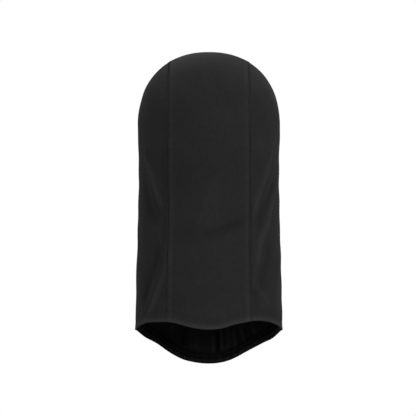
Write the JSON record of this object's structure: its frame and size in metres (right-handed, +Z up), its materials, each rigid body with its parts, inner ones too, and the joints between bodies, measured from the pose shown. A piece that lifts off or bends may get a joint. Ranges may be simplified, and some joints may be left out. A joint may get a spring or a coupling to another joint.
{
  "type": "balaclava",
  "caption": "Fleece balaclava: centre and side panels joined by flatlock seams, a bound oval face opening, a turned hem and a longer front bib.",
  "frame": {"origin": "highest point inside the crown, where the top of the wearer's head touches it", "axes": "+Z up, +Y the way the wearer faces, +X to the wearer's right"},
  "size_m": [0.1726, 0.203, 0.3674],
  "materials": {
    "fleece": "matt brushed microfleece",
    "binding": "satin elastic tape",
    "thread": "textured polyester thread",
    "label": "smooth woven tape"
  },
  "bodies": {
    "root": {"centre_panel": "fleece", "left_side_panel": "fleece", "right_side_panel": "fleece", "face_binding": "binding", "binding_stitch": "thread", "left_seam_cover_thread": "thread", "right_seam_cover_thread": "thread", "left_seam_inner_thread": "thread", "right_seam_inner_thread": "thread", "front_seam_cover_thread": "thread", "front_seam_inner_thread": "thread", "hem_lower_stitch_row": "thread", "hem_upper_stitch_row": "thread", "hem_looper_thread": "thread", "left_brow_bar_tack": "thread", "right_brow_bar_tack": "thread", "chin_bar_tack": "thread", "care_label": "label"}
  },
  "joints": []
}
